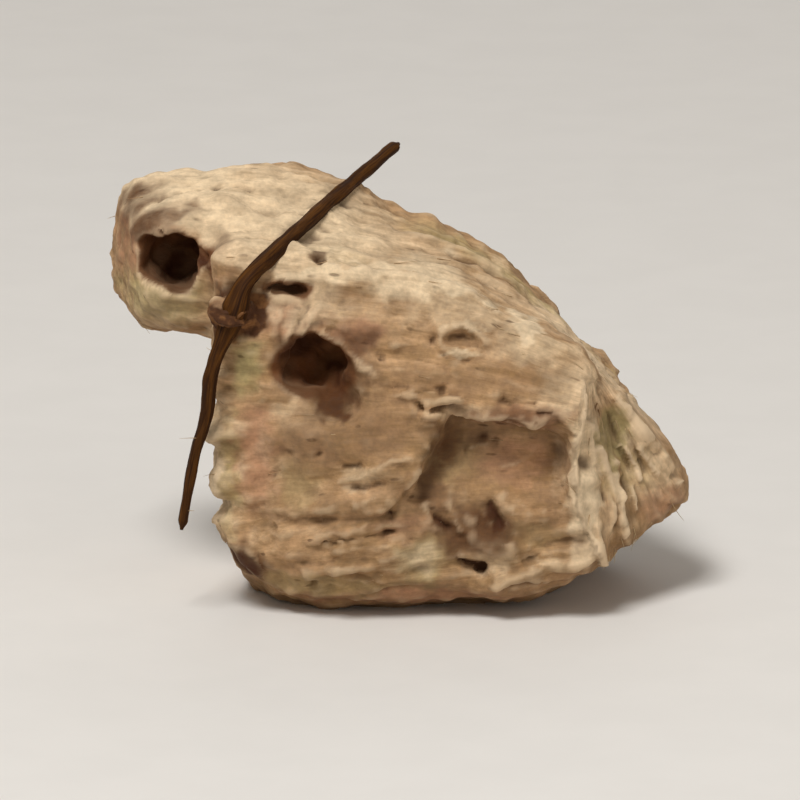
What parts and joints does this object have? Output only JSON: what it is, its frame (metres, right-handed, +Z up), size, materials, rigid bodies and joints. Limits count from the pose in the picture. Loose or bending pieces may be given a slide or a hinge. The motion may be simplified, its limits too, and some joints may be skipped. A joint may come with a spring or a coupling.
{
  "type": "chopped piece of dried stone root",
  "caption": "Dried woody root chunk with a broad split face, a buttress, a hollow branch stump and wiry rootlets, resting on a flat chopped face.",
  "frame": {"origin": "near the middle of the flat chopped face that the chunk rests on", "axes": "+Z up out of the resting face, +X along the fibres from the hollow stump to the buttress tip, -Y out of the large split face"},
  "size_m": [0.0199, 0.0114, 0.0147],
  "materials": {
    "dried_root": "rough dry fibrous wood with thin brown bark on the hidden side",
    "rootlet_bark": "dark wrinkled rootlet skin"
  },
  "bodies": {
    "root": {"root_chunk": "dried_root"}
  },
  "joints": []
}
